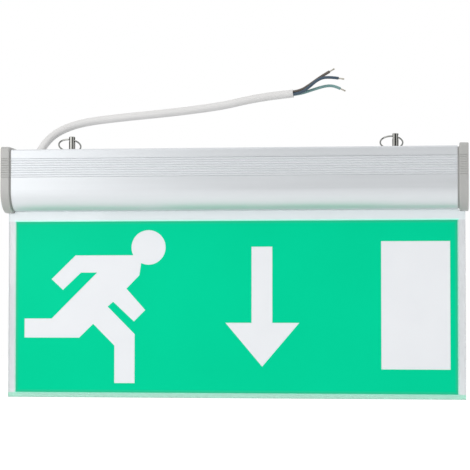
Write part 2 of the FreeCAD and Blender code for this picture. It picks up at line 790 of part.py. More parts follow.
def mains_capacitor():
    """Foil capacitor lying on the board, with a crimped bead at one end."""
    x, y = on_board(mains_capacitor_at)
    level = board_top + mains_capacitor_r
    half = mains_capacitor_length / 2
    can = x_rod((x - half, x + half), y, level, mains_capacitor_r)
    groove = x_rod((x + half - 3.0, x + half - 2.2), y, level, mains_capacitor_r + 1).cut(
        x_rod((x + half - 3.0, x + half - 2.2), y, level, mains_capacitor_r - 0.5))
    return can.cut(groove)


def output_capacitors():
    """Two upright electrolytic cans with scored tops."""
    cans = []
    for place in output_capacitors_at:
        can = turned([(0, board_top), (output_capacitor_r, board_top),
                      (output_capacitor_r, board_top + 1.4),
                      (output_capacitor_r - 0.35, board_top + 1.8),
                      (output_capacitor_r, board_top + 2.2),
                      (output_capacitor_r, board_top + output_capacitor_height - 0.5),
                      (output_capacitor_r - 0.5, board_top + output_capacitor_height),
                      (0, board_top + output_capacitor_height)], on_board(place))
        cans.append(can)
    return cans


def fuse():
    """Glass tube fuse lying on the board."""
    x, y = on_board(fuse_at)
    half = fuse_length / 2
    return x_rod((x - half, x + half), y, board_top + fuse_r, fuse_r - 0.3)


def fuse_clips():
    """Sprung clips at the fuse's two ends."""
    x, y = on_board(fuse_at)
    clips = []
    for sign in (-1, 1):
        centre = x + sign * (fuse_length / 2 - 2.5)
        clip = block((centre, y), (4.0, 2 * (fuse_r + clip_side), 2 * fuse_r), board_top)
        tube_hole = x_rod((centre - 3, centre + 3), y, board_top + fuse_r, fuse_r - 0.25)
        mouth = block((centre, y), (6.0, 2 * fuse_r - 1.4, 2 * fuse_r), board_top + fuse_r)
        clips.append(clip.cut(tube_hole).cut(mouth))
    return clips


def power_transistor():
    """Transistor standing against its heat plate."""
    x, y = on_board(heat_plate_at)
    depth = (heat_plate[1] + transistor_size[1]) / 2
    return block((x, y - depth), transistor_size, board_top)


# ---- battery -----------------------------------------------------------------------------
def battery_axis():
    """Height of the battery stick's axis above its tray."""
    return board_top - board_thickness + tray_floor + lead_height + cell_r


def battery_ends():
    """Left and right ends of the battery stick."""
    return battery_left, battery_left + cell_count * cell_length


def battery_pack():
    """Three cells end to end in shrink sleeve, waisted where they meet."""
    left, right = battery_ends()
    level = battery_axis()
    stick = x_rod((left, right), 0, level, cell_r)
    stick = stick.makeFillet(0.8, stick.Edges[:1] + stick.Edges[2:])
    for joint in range(1, cell_count):
        x = left + joint * cell_length
        waist = x_rod((x - 0.6, x + 0.6), 0, level, cell_r + 1).cut(
            x_rod((x - 0.6, x + 0.6), 0, level, cell_r - cell_groove))
        stick = stick.cut(waist)
    return stick


def battery_tray():
    """Moulded tray in the board's rails, with side walls and end stops."""
    left, right = battery_ends()
    low = board_top - board_thickness
    half = inner_half - board_edge_gap
    length = (left - tray_wall - end_gap, right + tray_wall + end_gap)
    floor = box(length, (-half, half), (low, low + tray_floor))
    side = cell_r + fit_gap
    walls = [box(length, (side, side + tray_wall), (low, low + tray_side)),
             box(length, (-side - tray_wall, -side), (low, low + tray_side))]
    stops = [box((length[0], length[0] + tray_wall), (-side, side), (low, low + tray_side)),
             box((length[1] - tray_wall, length[1]), (-side, side), (low, low + tray_side))]
    return joined(floor, *(walls + stops))


def battery_straps():
    """Two sprung bands over the cells, hooked on the tray's walls."""
    left, right = battery_ends()
    level = battery_axis()
    outer = cell_r + fit_gap + tray_wall
    straps = []
    for share in straps_at:
        x = left + share * (right - left)
        ends = (x - strap_width / 2, x + strap_width / 2)
        hoop = x_rod(ends, 0, level, outer + strap_thickness).cut(
            x_rod(ends, 0, level, outer + fit_gap))
        hoop = hoop.cut(box(ends, (-2 * outer, 2 * outer), (level - 2 * outer, level)))
        straps.append(hoop)
    return straps


# ---- inner leads -------------------------------------------------------------------------
def supply_leads():
    """The cord's three cores from the sheath's inner end round into the terminal."""
    inner = cord_route[0]
    out = inner - cord_route[1]
    out.normalize()
    across = out.cross(V(1, 0, 0))
    across.normalize()
    level = board_top + (terminal_entry[1] + terminal_entry[2]) / 2
    face = on_board(terminal_at)[0] - terminal_size[0] / 2
    leads = []
    for k, y in enumerate(terminal_places()):
        start = inner + FreeCAD.Rotation(out, lead_twist - 120 * k).multVec(across) * lead_spread
        turn = start + out * lead_run
        leads.append(tube("supply lead", [
            start, turn, V(face - lead_bow, (turn.y + y) / 2, level + lead_bow_rise),
            V(face - lead_bow + lead_return, y, level + seat_gap),
            V(face - lead_approach, y, level), V(face + terminal_entry[0] - end_gap, y, level)],
            core_r))
    return leads


def battery_lead():
    """Two wires from the battery's end over into their plug."""
    x, y = on_board(plugs_at[0])
    top = board_top + plug_size[2]
    level = battery_axis() + battery_lead_level
    crest = top + lead_hump
    route = [(battery_left, y / 3, level), (battery_left - lead_run, y / 3, level),
             (battery_left - 2 * lead_run, y / 2, crest - battery_lead_sag),
             (x + plug_bend, y, crest), (x, y, top + plug_rise), (x, y, top)]
    return [tube("battery wire", [V(a, b + side, c) for a, b, c in route], battery_wire_r)
            for side in (-battery_wires / 2, battery_wires / 2)]


def led_lead():
    """Two wires from their plug past the board's end and down to the LED strip."""
    x, y = on_board(plugs_at[1])
    plug = V(x, y, board_top + plug_size[2])
    hole = V(lead_hole(), 0, carrier_top)
    stops = [(plug + V(*place), apart) for place, apart in led_lead_start]
    stops += [(hole + V(*place), apart) for place, apart in led_lead_end]
    return [tube("led wire", [stop + V(apart[0], 0, apart[1]) * side for stop, apart in stops],
                 led_wire_r)
            for side in (-led_wires / 2, led_wires / 2)]


# ---- test button and indicators -----------------------------------------------------------
def test_button():
    """Plunger guided by the cap, flanged inside so that it can't fall out."""
    face = cap_face - button_below_face
    shaft = x_rod((switch_face + plunger_reach, face), 0, control_level, button_r)
    shaft = shaft.makeFillet(0.6, [e for e in shaft.Edges if is_rim(e, V(face, 0, control_level))])
    flange_top = plate_inside - button_float
    return joined(shaft, x_rod((flange_top - button_flange, flange_top), 0, control_level,
                               button_flange_r))


def switch_base():
    """Body of the tactile switch, with the well its plunger sinks into."""
    start = control_board_x + control_board[0]
    half = switch_body[1] / 2
    body = box((start, switch_face), (-half, half),
               (control_level - half, control_level + half))
    well = switch_face - button_travel - plunger_gap - plunger_reach
    return body.cut(x_rod((well, switch_face + 1), 0, control_level, plunger_r + plunger_gap))


def switch_plunger():
    """Plunger of the tactile switch, which moves with the button."""
    return x_rod((switch_face - plunger_reach, switch_face + plunger_reach), 0, control_level,
                 plunger_r)


def control_circuit():
    """Small board behind the right cap, screwed to the cap's posts."""
    thickness, width, height = control_board
    board = box((control_board_x, control_board_x + thickness), (-width / 2, width / 2),
                (control_level - height / 2, control_level + height / 2))
    for sign in (-1, 1):
        board = board.cut(x_rod((control_board_x - 1, control_board_x + thickness + 1),
                                sign * post_spread, control_level, post_screw_r + fit_gap))
    return board


def control_screws():
    """Two small screws through the control board into the cap's posts."""
    return [screw(V(1, 0, 0), V(control_board_x, sign * post_spread, control_level),
                  post_screw_r, post_screw_length, (1.8, 1.2)) for sign in (-1, 1)]


def indicator_lens(sign):
    """Light pipe from a signal LED to the cap's face."""
    level = control_level + sign * lens_spread
    start = control_board_x + control_board[0] + signal_led[0] + end_gap
    pipe = x_rod((start, cap_face), 0, level, lens_r)
    flange = x_rod((plate_inside - lens_flange, plate_inside), 0, level, lens_flange_r)
    return joined(pipe, flange)


def signal_leds():
    """Chip LEDs under the two light pipes."""
    start = control_board_x + control_board[0]
    return [box((start, start + signal_led[0]), (-signal_led[1] / 2, signal_led[1] / 2),
                (control_level + sign * lens_spread - signal_led[2] / 2,
                 control_level + sign * lens_spread + signal_led[2] / 2)) for sign in (-1, 1)]


# ---- the whole sign ----------------------------------------------------------------------
def build():
    """Write every piece."""
    os.makedirs("parts", exist_ok=True)
    back = panel_thickness / 2
    save("housing_extrusion", housing_extrusion())
    save("end_cap_left", end_cap().mirror(V(0, 0, 0), V(1, 0, 0)))
    save("end_cap_right", control_cap())
    save("cap_screws_left", cap_screws(-1))
    save("cap_screws_right", cap_screws(1))
    save("light_guide_panel", light_guide_panel())
    save("diffuser_film", legend_sheet(-back - diffuser_thickness, diffuser_thickness))
    save("legend_film", legend_film())
    save("reflector_film", legend_sheet(back, film_thickness))
    save("panel_carrier", panel_carrier())
    save("panel_pins", [rod(V(x, -carrier_half, pin_level), V(x, carrier_half, pin_level), pin_r)
                        for x in pin_places()])
    save("led_strip", box((-carrier_half_length + 1, carrier_half_length - 1),
                          (fit_gap - slot_width / 2, slot_width / 2 - fit_gap),
                          (carrier_roof - led_board_thickness, carrier_roof)))
    save("led_packages", [block((x, 0), led_size, led_face) for x in led_places()])
    for side, x in stud_places.items():
        save("hanging_stud_" + side, hanging_stud(x))
        save("hanging_ring_" + side, hanging_ring(x))
    save("stud_washers", [washer(x) for x in stud_places.values()])
    save("stud_nuts", [nut(x) for x in stud_places.values()])
    save("driver_board", driver_board())
    save("terminal_block", terminal_block())
    save("terminal_screws", terminal_screws())
    save("transformer_core", transformer_core())
    save("transformer_coil", transformer_coil())
    save("mains_capacitor", mains_capacitor())
    save("output_capacitors", output_capacitors())
    save("fuse", fuse())
    save("fuse_clips", fuse_clips())
    save("control_chips", [block(on_board(place), chip_size, board_top) for place in chips_at])
    save("heat_plate", block(on_board(heat_plate_at), heat_plate, board_top))
    save("power_transistor", power_transistor())
    save("plug_sockets", [block(on_board(place), plug_size, board_top) for place in plugs_at])
    save("battery_pack", battery_pack())
    save("battery_tray", battery_tray())
    save("battery_straps", battery_straps())
    for name, lead in zip(("supply_lead_brown", "supply_lead_blue", "supply_lead_green"),
                          supply_leads()):
        save(name, lead)
    save("battery_lead", battery_lead())
    save("led_lead", led_lead())
    save("test_button", test_button())
    save("test_switch", switch_base())
    save("switch_plunger", switch_plunger())
    save("control_circuit_board", control_circuit())
    save("control_board_screws", control_screws())
    save("charge_lens", indicator_lens(1))
    save("fault_lens", indicator_lens(-1))
    save("signal_leds", signal_leds())
    save("cord_grommet", cord_grommet())
    save("supply_cord", tube("supply_cord", cord_route, cord_r))
    for name in core_routes:
        save(name, tube(name, core_routes[name], core_r))
    save("core_tips", [bare_tip(name) for name in core_routes])


build()
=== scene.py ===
"""Hanging emergency exit sign: finishes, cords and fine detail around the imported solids.

Metres, in the solids' own frame: X runs along the sign, Y from its front to its back and Z up,
from the centre of the housing's top face.
"""

import bpy
import numpy as np
from mathutils import Euler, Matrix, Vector


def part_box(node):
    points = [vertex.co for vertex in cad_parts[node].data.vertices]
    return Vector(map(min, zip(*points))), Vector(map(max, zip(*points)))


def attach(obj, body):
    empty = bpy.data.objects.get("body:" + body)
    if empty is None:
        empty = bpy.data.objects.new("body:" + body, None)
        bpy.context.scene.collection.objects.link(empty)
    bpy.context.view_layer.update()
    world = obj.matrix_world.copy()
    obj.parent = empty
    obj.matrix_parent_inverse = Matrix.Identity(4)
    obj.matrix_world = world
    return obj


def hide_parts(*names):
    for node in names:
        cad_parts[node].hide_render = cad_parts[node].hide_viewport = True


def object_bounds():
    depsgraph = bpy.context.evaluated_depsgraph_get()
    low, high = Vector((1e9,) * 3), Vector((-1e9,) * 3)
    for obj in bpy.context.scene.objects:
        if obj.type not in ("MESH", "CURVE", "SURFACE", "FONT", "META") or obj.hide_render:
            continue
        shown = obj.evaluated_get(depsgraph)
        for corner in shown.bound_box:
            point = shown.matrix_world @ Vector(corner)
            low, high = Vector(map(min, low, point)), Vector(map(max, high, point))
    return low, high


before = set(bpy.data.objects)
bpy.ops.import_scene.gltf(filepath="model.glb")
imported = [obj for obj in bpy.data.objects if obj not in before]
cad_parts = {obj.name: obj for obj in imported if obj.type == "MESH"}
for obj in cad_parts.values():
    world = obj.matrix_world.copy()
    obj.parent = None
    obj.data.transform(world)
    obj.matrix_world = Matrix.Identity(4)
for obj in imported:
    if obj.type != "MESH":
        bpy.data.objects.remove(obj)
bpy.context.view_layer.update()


# ---- camera ------------------------------------------------------------------------------
# The sign is looked at from 1.36 m in front and a little to its right, with the camera turned
# back towards its middle and tipped up slightly.
eye = Vector((0.1635, -1.361, -0.1175))
turn_left = 6.82
look_up = 2.18
tilt = -0.03
focal_length = 137.8
sensor_width = 36.0

camera = bpy.data.objects.new("camera", bpy.data.cameras.new("camera"))
camera.data.sensor_width = sensor_width
camera.data.lens = focal_length
camera.location = eye
camera.rotation_euler = Euler(np.radians((90 + look_up, tilt, turn_left)), "XYZ")
bpy.context.scene.collection.objects.link(camera)
bpy.context.scene.camera = camera
bpy.context.scene.view_settings.view_transform = "Standard"


# ---- supply cord -------------------------------------------------------------------------
# Round mains cord in a soft white PVC sheath, 6.3 mm thick. It stands up out of its bush in
# the housing's top, bends over to the right and runs along behind the left hanging ring.
MM = 0.001
cord_radius = 3.15 * MM
cord_route = [
    (-0.1556, 0.0018, -0.0089), (-0.1533, 0.0046, -0.0018), (-0.1502, 0.0090, 0.0059),
    (-0.1444, 0.0142, 0.0137), (-0.1341, 0.0188, 0.0202), (-0.1188, 0.0206, 0.0246),
    (-0.0916, 0.0194, 0.0275), (-0.0487, 0.0172, 0.0309), (-0.0120, 0.0159, 0.0351),
    (0.0063, 0.0152, 0.0391), (0.0250, 0.0146, 0.0422), (0.0436, 0.0142, 0.0440)]
sheath_wall = 0.75 * MM
sheath_lip = 0.55 * MM
lip_facets = 48
lip_corner = 0.25
noise_low, noise_high = 0.3, 0.7
cloud_grains = 30
sheen_drift = 0.04


def linear(code):
    """Linear colour of an sRGB hex code.

    Each part c becomes c / 12.92 up to 0.04045, and ((c + 0.055) / 1.055) ^ 2.4 above that.
    """
    part = np.array([int(code[i:i + 2], 16) for i in (1, 3, 5)]) / 255
    value = np.where(part <= 0.04045, part / 12.92, ((part + 0.055) / 1.055) ** 2.4)
    return (*(float(v) for v in value), 1.0)


def add_node(tree, kind, inputs=None, **settings):
    """Add one shader node, with each input a value or another node's output."""
    node = tree.nodes.new("ShaderNode" + kind)
    for name, value in settings.items():
        setattr(node, name, value)
    for name, value in (inputs or {}).items():
        if isinstance(value, bpy.types.NodeSocket):
            tree.links.new(value, node.inputs[name])
        else:
            node.inputs[name].default_value = value
    return node


def new_tree(name):
    """A material with an empty node tree."""
    material = bpy.data.materials.new(name)
    material.use_nodes = True
    material.node_tree.nodes.clear()
    return material, material.node_tree


def noise_field(tree, spacing, stretch=(1, 1, 1), detail=3.0):
    """Noise from 0 to 1 whose grains are a spacing apart in metres, stretched along the axes."""
    place = add_node(tree, "TexCoord").outputs["Object"]
    scale = tuple(1 / s for s in stretch)
    place = add_node(tree, "Mapping", {"Vector": place, "Scale": scale}).outputs["Vector"]
    noise = add_node(tree, "TexNoise", {"Vector": place, "Scale": 1 / spacing, "Detail": detail})
    return noise.outputs["Fac"]


def closed(material, tree, shader):
    """The material, with a shader joined to its output."""
    add_node(tree, "OutputMaterial", {"Surface": shader.outputs[0]})
    return material


def grained_finish(name, shades, roughness, grain, depth=0.0, clouds=None, cloud_detail=3.0,
                   stretch=(1, 1, 1), others=None):
    """Finish of two close shades in soft clouds, with a fine grain in its sheen and its relief.

    The shades are mixed by noise of the clouds' spacing, or by the grain itself where no clouds
    are given. The roughness is one number, or goes from one to another as the grain goes from
    noise_low to noise_high, between which most of it lies. The relief is the grain times a
    depth. Grains too fine to show are given coarser than the real ones.
    """
    material, tree = new_tree(name)
    fine = noise_field(tree, grain, stretch)
    mixed = noise_field(tree, clouds, detail=cloud_detail) if clouds else fine
    inputs = {"Roughness": roughness, **(others or {})}
    inputs["Base Color"] = add_node(
        tree, "Mix", {0: mixed, 6: linear(shades[0]), 7: linear(shades[1])},
        data_type="RGBA").outputs[2]
    if isinstance(roughness, tuple):
        inputs["Roughness"] = add_node(tree, "MapRange", {
            "Value": fine, "From Min": noise_low, "From Max": noise_high,
            "To Min": roughness[0], "To Max": roughness[1]}).outputs["Result"]
    if depth:
        inputs["Normal"] = add_node(tree, "Bump", {"Height": fine, "Distance": depth,
                                                   "Strength": 1.0}).outputs["Normal"]
    return closed(material, tree, add_node(tree, "BsdfPrincipled", inputs))


def moulded(name, low, high, roughness, grain, depth, specular=0.5):
    """Moulded or extruded plastic: a fine grain under clouds that are cloud_grains grains wide.

    Its sheen drifts by sheen_drift to each side of a roughness.
    """
    return grained_finish(name, (low, high), (roughness - sheen_drift, roughness + sheen_drift),
                          grain, depth, clouds=cloud_grains * grain, cloud_detail=2.0,
                          others={"Specular IOR Level": specular})


def grid_mesh(name, points):
    """Mesh over a grid of points (rows, columns, 3) that closes on itself both ways.

    Point (i, j) is joined to (i, j + 1), (i + 1, j + 1) and (i + 1, j) by one quad.
    """
    index = np.arange(points.size // 3).reshape(points.shape[:2])
    below = np.roll(index, -1, axis=0)
    quads = np.stack([index, np.roll(index, -1, axis=1), np.roll(below, -1, axis=1), below], -1)
    mesh = bpy.data.meshes.new(name)
    mesh.from_pydata(points.reshape(-1, 3).tolist(), [], quads.reshape(-1, 4).tolist())
    mesh.polygons.foreach_set("use_smooth", [True] * len(mesh.polygons))
    mesh.update()
    piece = bpy.data.objects.new(name, mesh)
    bpy.context.scene.collection.objects.link(piece)
    return piece


def square_to(axis):
    """Two unit vectors square to an axis and to each other, right-handed with it."""
    first = np.cross(axis, (0.0, 1.0, 0.0))
    first /= np.linalg.norm(first)
    return first, np.cross(axis, first)


def run_end(route):
    """Last point of a route and the unit vector of its last run."""
    last, before = np.array(route[-1]), np.array(route[-2])
    return last, (last - before) / np.linalg.norm(last - before)


def laid_cord(name, route, radius, material):
    """Round tube about one quadratic NURBS curve whose control points are the route's."""
    curve = bpy.data.curves.new(name, "CURVE")
    curve.dimensions = "3D"
    curve.bevel_depth = radius
    curve.bevel_resolution = 7
    curve.resolution_u = 14
    curve.use_fill_caps = True
    spline = curve.splines.new("NURBS")
    spline.points.add(len(route) - 1)
    spline.points.foreach_set("co", np.column_stack([route, np.ones(len(route))]).ravel())
    spline.order_u = 3
    spline.use_endpoint_u = True
    curve.materials.append(material)
    cord = bpy.data.objects.new(name, curve)
    bpy.context.scene.collection.objects.link(cord)
    return cord


def cut_lip(name, route, radius, wall, height):
    """Rim left by a square cut: a tube wall's section with cut corners, turned about the run.

    Point (i, j) is end + axis * s_i + (cos(a_j) u + sin(a_j) v) * r_i, where (r_i, s_i) goes
    round the wall's section and a_j round the cord.
    """
    end, axis = run_end(route)
    first, second = square_to(axis)
    inner, edge = radius - wall, lip_corner * wall
    section = np.array([(radius, 0), (radius, height - edge), (radius - edge, height),
                        (inner + edge, height), (inner, height - edge), (inner, 0)])
    angle = np.linspace(0, 2 * np.pi, lip_facets, endpoint=False)[None, :, None]
    around = np.cos(angle) * first + np.sin(angle) * second
    return grid_mesh(name, end + axis * section[:, 1, None, None]
                     + around * section[:, 0, None, None])


# Soft PVC: a pale satin skin with faint clouds of grey from handling, and a fine extruded grain.
sheath_pvc = moulded("soft_white_pvc_sheath", "#DBDAD9", "#E1E0DF", roughness=0.5,
                     grain=0.35 * MM, depth=0.0005 * MM, specular=0.25)
supply_cord = laid_cord("supply_cord_sheath", cord_route, cord_radius, sheath_pvc)
sheath_end = cut_lip("supply_cord_cut_end", cord_route, cord_radius, sheath_wall, sheath_lip)
sheath_end.data.materials.append(sheath_pvc)
for piece in (supply_cord, sheath_end):
    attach(piece, "housing")
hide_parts("supply_cord")


# ---- cores, their bare tips and the inner leads ------------------------------------------
# Three insulated cores fan out of the cut sheath. Each is stripped at its end, where seven
# tinned copper strands are twisted together. Inside, the same cores run to the terminal.
core_radius = 1.1 * MM
cores = {
    "core_brown": (0.0327, ("#5C554F", "#6D655E"), [
        (0.0437, 0.0142, 0.0454), (0.0495, 0.0143, 0.0460), (0.0573, 0.0147, 0.0510),
        (0.0653, 0.0149, 0.0568), (0.0721, 0.0150, 0.0607)]),
    "core_blue": (0.0392, ("#374959", "#475969"), [
        (0.0437, 0.0129, 0.0433), (0.0499, 0.0126, 0.0439), (0.0566, 0.0119, 0.0486),
        (0.0632, 0.0114, 0.0542), (0.0704, 0.0111, 0.0563), (0.0792, 0.0110, 0.0549)]),
    "core_green": (0.0377, ("#6C9291", "#82A7A5"), [
        (0.0438, 0.0155, 0.0433), (0.0496, 0.0156, 0.0439), (0.0582, 0.0162, 0.0467),
        (0.0665, 0.0166, 0.0493), (0.0718, 0.0168, 0.0501), (0.0764, 0.0169, 0.0494),
        (0.0802, 0.0169, 0.0476)])}
tip_length = 4.4 * MM
tip_rings = 15
outer_strands = 6
strand_radius = 0.2 * MM
strand_facets = 10
strand_spacing = 2.05 * strand_radius
strand_pitch = 7.0 * MM
strand_splay = 0.12 * MM


def twisted_strands(name, route, material):
    """One straight strand and six laid round it in a helix that opens at its end.

    Strand k runs along end + axis * s + (cos(t) u + sin(t) v) * r(s), with
    t = 2 pi (k / 6 + s / pitch) and r(s) the strands' spacing plus the splay times
    (s / length)^2. The last strand has r = 0.
    """
    end, axis = run_end(route)
    first, second = square_to(axis)
    along = np.linspace(0, 1, tip_rings)[None, :, None]
    strand = np.arange(outer_strands + 1)[:, None, None]
    reach = np.where(strand < outer_strands, strand_spacing + strand_splay * along ** 2, 0)
    phase = 2 * np.pi * (strand / outer_strands + along * tip_length / strand_pitch)
    middle = end + axis * along * tip_length + reach * (np.cos(phase) * first
                                                       + np.sin(phase) * second)
    angle = np.linspace(0, 2 * np.pi, strand_facets, endpoint=False)[None, None, :, None]
    skin = middle[:, :, None, :] + strand_radius * (np.cos(angle) * first
                                                    + np.sin(angle) * second)
    index = np.arange(skin.size // 3).reshape(skin.shape[:3])
    quads = np.stack([index[:, :-1], np.roll(index[:, :-1], -1, axis=2),
                      np.roll(index[:, 1:], -1, axis=2), index[:, 1:]], -1).reshape(-1, 4)
    ends = index[:, 0, ::-1].tolist() + index[:, -1].tolist()
    mesh = bpy.data.meshes.new(name)
    mesh.from_pydata(skin.reshape(-1, 3).tolist(), [], quads.tolist() + ends)
    mesh.polygons.foreach_set("use_smooth", [True] * len(quads) + [False] * len(ends))
    mesh.materials.append(material)
    mesh.update()
    piece = bpy.data.objects.new(name, mesh)
    bpy.context.scene.collection.objects.link(piece)
    return piece


def dress(material, *names):
    """Give solids a finish."""
    for name in names:
        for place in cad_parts[name].material_slots:
            place.material = material


# Tinned copper: a dull silver skin that has gone slightly yellow.
strand_metal = grained_finish("tinned_copper_strands", ("#BDB8AE", "#E0DCD2"), (0.28, 0.45),
                              grain=0.6 * MM, others={"Metallic": 1.0})
for name, (length, shades, route) in cores.items():
    # PVC insulation: an even, slightly glossy skin in the core's colour.
    insulation = moulded("pvc_" + name, *shades, roughness=0.42, grain=0.3 * MM,
                         depth=0.006 * MM, specular=0.4)
    dress(insulation, name.replace("core", "supply_lead"))
    core = laid_cord(name + "_insulation", route, core_radius, insulation)
    tip = twisted_strands(name + "_strands", route, strand_metal)
    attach(core, "housing")
    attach(tip, "housing")
    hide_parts(name)
    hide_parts("core_tips")


# ---- cord bush ---------------------------------------------------------------------------
# A bush moulded in pale rubber and snapped into a hole in the housing's top. It keeps the
# metal's edge off the cord, and its dry skin shows hardly any gloss.
dress(moulded("pale_bush_rubber", "#D8D8D6", "#E4E4E2", roughness=0.6, grain=0.4 * MM,
              depth=0.02 * MM, specular=0.3), "cord_grommet")


# ---- housing extrusion -------------------------------------------------------------------
# An aluminium section pushed through a die, which leaves hair-fine lines along it, then
# etched and clear anodised to a soft sheen that spreads the reflection of the room.
die_line = 0.45 * MM
die_line_stretch = 260
die_line_depth = 0.008 * MM
streak = 3.2 * MM
streak_stretch = 45
etch_grain = 0.25 * MM
etch_depth = 0.004 * MM


def anodised_aluminium():
    """Clear anodised aluminium: satin metal with long die lines, faint streaks, fine etching.

    The lines and the etching are drawn coarser than the real ones, which would be too fine to
    show.
    """
    material, tree = new_tree("clear_anodised_aluminium")
    lines = noise_field(tree, die_line, (die_line_stretch, 1, 1), detail=4.0)
    streaks = noise_field(tree, streak, (streak_stretch, 1, 1), detail=2.0)
    etched = noise_field(tree, etch_grain)
    drawn = add_node(tree, "Bump", {"Height": lines, "Distance": die_line_depth, "Strength": 1.0})
    relief = add_node(tree, "Bump", {"Height": etched, "Distance": etch_depth, "Strength": 1.0,
                                     "Normal": drawn.outputs["Normal"]})
    shades = add_node(tree, "Mix", {0: streaks, 6: linear("#D6D9DC"), 7: linear("#DEE1E4")},
                      data_type="RGBA")
    sheen = add_node(tree, "MapRange", {"Value": streaks, "From Min": noise_low,
                                        "From Max": noise_high, "To Min": 0.5, "To Max": 0.57})
    return closed(material, tree, add_node(tree, "BsdfPrincipled", {
        "Base Color": shades.outputs[2], "Metallic": 0.6,
        "Roughness": sheen.outputs["Result"], "Normal": relief.outputs["Normal"]}))


dress(anodised_aluminium(), "housing_extrusion")


# ---- end caps ----------------------------------------------------------------------------
# Moulded ABS caps in a warm grey close to the metal's. The tool is spark-eroded, so the skin
# has a fine even grain, and their rims carry the same reeds as the extrusion.
dress(moulded("spark_grained_grey_abs", "#AFAFAD", "#B5B5B2", roughness=0.5, grain=0.22 * MM,
              depth=0.014 * MM, specular=0.6), "end_cap_left", "end_cap_right")


# ---- screws and other plated steel -------------------------------------------------------
# Zinc-plated steel screws, nuts, washers, pins and straps: a mid-grey metal whose tint drifts
# between blue and straw over a few millimetres, from the passivation.
dress(grained_finish("zinc_plated_steel", ("#B4B9BF", "#C8C3B4"), (0.26, 0.36),
                     grain=0.2 * MM, depth=0.003 * MM, clouds=2.5 * MM,
                     others={"Metallic": 1.0}),
      "cap_screws_left", "cap_screws_right", "panel_pins", "stud_washers", "stud_nuts",
      "terminal_screws", "control_board_screws", "battery_straps")


# ---- light guide -------------------------------------------------------------------------
# Clear cast acrylic sheet, 5 mm thick, lit from its top edge. Its bare margin scatters a little
# light, so it looks near white. Right beside the green film it is painted with a mint glow, and
# the margin above the film carries a faint painted glow that lifts the shade the housing casts on
# it.
film_low, film_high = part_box("legend_film")
film_middle = (film_low.z + film_high.z) / 2
# Reach of the painted mint glow out from the film's edge.
painted_glow_reach = 1.5 * MM
margin_fade = 0.5 * MM
acrylic_ior = 1.49
acrylic_clearness = 0.55


def beside_film(tree):
    """How far a point lies outside the film: max(|x| - half width, |z - middle| - half height)."""
    place = add_node(tree, "TexCoord").outputs["Object"]
    apart = add_node(tree, "SeparateXYZ", {"Vector": place})
    height = add_node(tree, "Math", {0: apart.outputs["Z"], 1: film_middle},
                      operation="SUBTRACT")
    over = []
    for offset, half_size in ((apart.outputs["X"], film_high.x),
                              (height.outputs[0], film_high.z - film_middle)):
        size = add_node(tree, "Math", {0: offset}, operation="ABSOLUTE")
        over.append(add_node(tree, "Math", {0: size.outputs[0], 1: half_size},
                             operation="SUBTRACT").outputs[0])
    return add_node(tree, "Math", {0: over[0], 1: over[1]}, operation="MAXIMUM").outputs[0]


def clear_acrylic():
    """Cast acrylic: clear body over a thin milky scatter, and a painted mint glow by the film.

    The margin above the film has a faint painted glow, grey-green and mint beside the film, that
    lifts the shade the housing casts on it, and the foot below the film is tinted pale green.
    """
    material, tree = new_tree("clear_cast_acrylic")
    place = add_node(tree, "TexCoord").outputs["Object"]
    height = add_node(tree, "SeparateXYZ", {"Vector": place}).outputs["Z"]
    near, above, below = [
        add_node(tree, "MapRange", {"Value": value, "From Min": start, "From Max": end,
                                    "To Min": low, "To Max": 1 - low}).outputs["Result"]
        for value, start, end, low in (
            (beside_film(tree), 0.0, painted_glow_reach, 1.0),
            (height, film_high.z, film_high.z + margin_fade, 0.0),
            (height, film_low.z, film_low.z - margin_fade, 0.0))]
    margin = add_node(tree, "Mix", {0: below, 6: linear("#F0F2F5"), 7: linear("#BCF2DE")},
                      data_type="RGBA")
    # Painted mint glow: within painted_glow_reach of the film, the base colour turns mint.
    colour = add_node(tree, "Mix", {0: near, 6: margin.outputs[2], 7: linear("#A8FFE6")},
                      data_type="RGBA")
    # Painted glow: a faint grey-green emission over the margin above the film, mint beside it,
    # that lifts the housing's shade.
    glow = add_node(tree, "Mix", {0: near, 6: linear("#3F4B4B"), 7: linear("#278E7E")},
                    data_type="RGBA")
    return closed(material, tree, add_node(tree, "BsdfPrincipled", {
        "Base Color": colour.outputs[2], "IOR": acrylic_ior, "Roughness": 0.12,
        "Transmission Weight": acrylic_clearness, "Emission Color": glow.outputs[2],
        "Emission Strength": above}))


dress(clear_acrylic(), "light_guide_panel")


# ---- legend and its backing films --------------------------------------------------------
# The legend is a green film cut away for the running figure, the arrow and the door, which
# show the white diffuser film behind it. A plain white reflector film closes the back.
rim_start, rim_end = -2.4 * MM, -0.2 * MM
film_cloud = 70 * MM
film_grain = 0.6 * MM
film_grain_depth = 0.002 * MM


def green_film():
    """Translucent green film: a flat satin green, a shade deeper where its cut rim shades it."""
    material, tree = new_tree("translucent_green_film")
    rim = add_node(tree, "MapRange", {"Value": beside_film(tree), "From Min": rim_start,
                                      "From Max": rim_end, "To Min": 0.0, "To Max": 1.0})
    ground = add_node(tree, "Mix", {0: noise_field(tree, film_cloud, detail=1.0),
                                    6: linear("#00D199"), 7: linear("#00D8A0")},
                      data_type="RGBA")
    colour = add_node(tree, "Mix", {0: rim.outputs["Result"], 6: ground.outputs[2],
                                    7: linear("#30BF90")}, data_type="RGBA")
    relief = add_node(tree, "Bump", {"Height": noise_field(tree, film_grain),
                                     "Distance": film_grain_depth, "Strength": 1.0})
    return closed(material, tree, add_node(tree, "BsdfPrincipled", {
        "Base Color": colour.outputs[2], "Roughness": 0.42, "Specular IOR Level": 0.03,
        "Normal": relief.outputs["Normal"]}))


dress(green_film(), "legend_film")
# White polyester: a cool white with a soft sheen and faint clouds.
dress(grained_finish("white_diffuser_film", ("#ECEEF2", "#F1F3F6"), 0.5, grain=0.5 * MM,
                     depth=0.002 * MM, clouds=25 * MM, cloud_detail=2.0,
                     others={"Specular IOR Level": 0.2}), "diffuser_film", "reflector_film")


